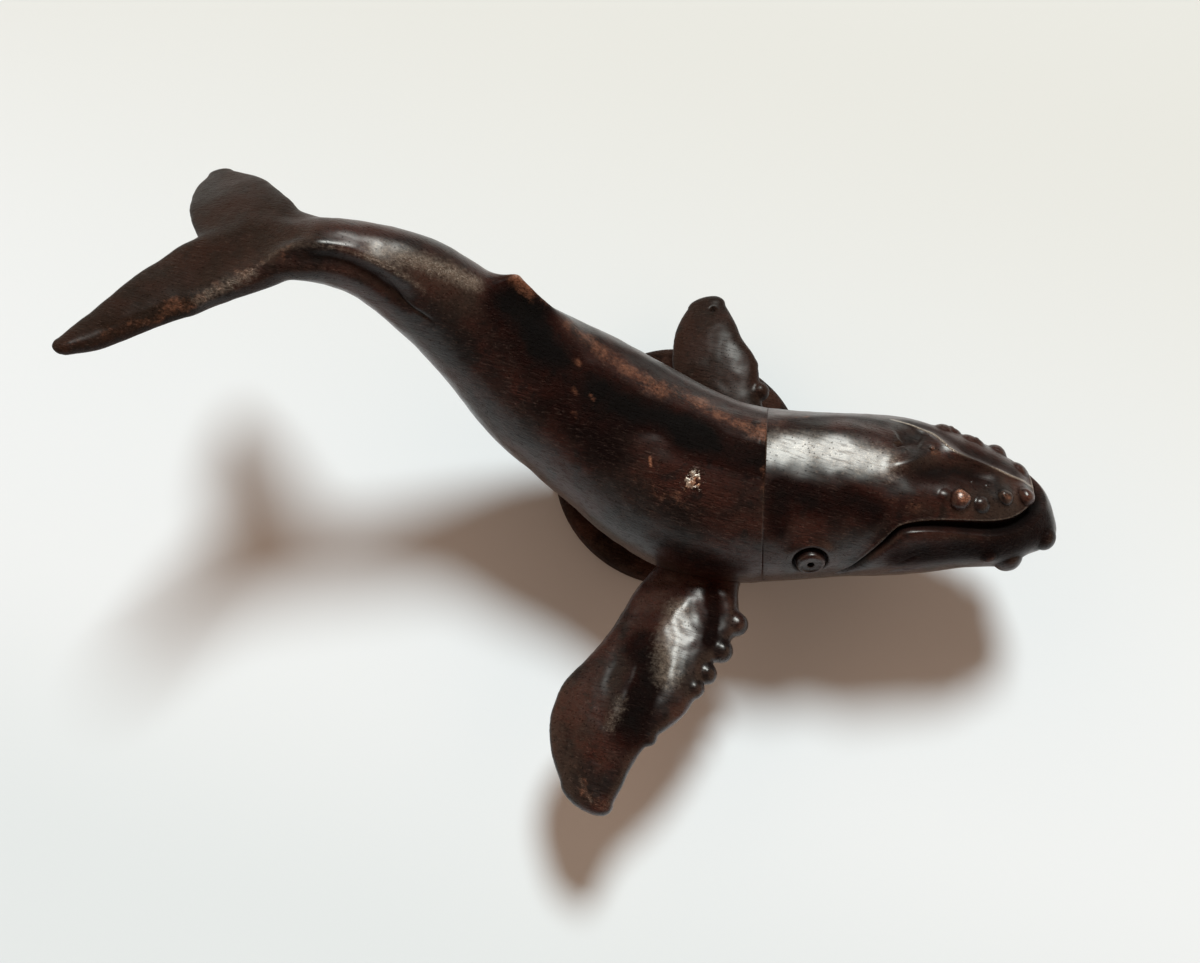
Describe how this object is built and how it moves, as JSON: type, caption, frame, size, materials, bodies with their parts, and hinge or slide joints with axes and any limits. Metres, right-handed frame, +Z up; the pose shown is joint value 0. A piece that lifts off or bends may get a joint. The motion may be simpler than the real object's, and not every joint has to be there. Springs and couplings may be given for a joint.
{
  "type": "whale figurine",
  "caption": "Small dark bronze figurine of a swimming humpback whale, banked in a turn on a low round base.",
  "frame": {"origin": "centre of the base disc's underside", "axes": "+X towards the snout, along the figurine's longest extent, +Z up from the resting face"},
  "size_m": [0.0985, 0.0627, 0.0391],
  "materials": {
    "dark_bronze": "satin",
    "base_bronze": "satin",
    "screw_steel": "satin"
  },
  "bodies": {
    "root": {"head_casting": "dark_bronze", "body_casting": "dark_bronze", "tail_flukes": "dark_bronze", "right_flipper": "dark_bronze", "left_flipper": "dark_bronze", "right_core_plug": "dark_bronze", "left_core_plug": "dark_bronze", "right_eye": "dark_bronze", "left_eye": "dark_bronze", "base_disc": "base_bronze", "base_screw": "screw_steel"}
  },
  "joints": []
}
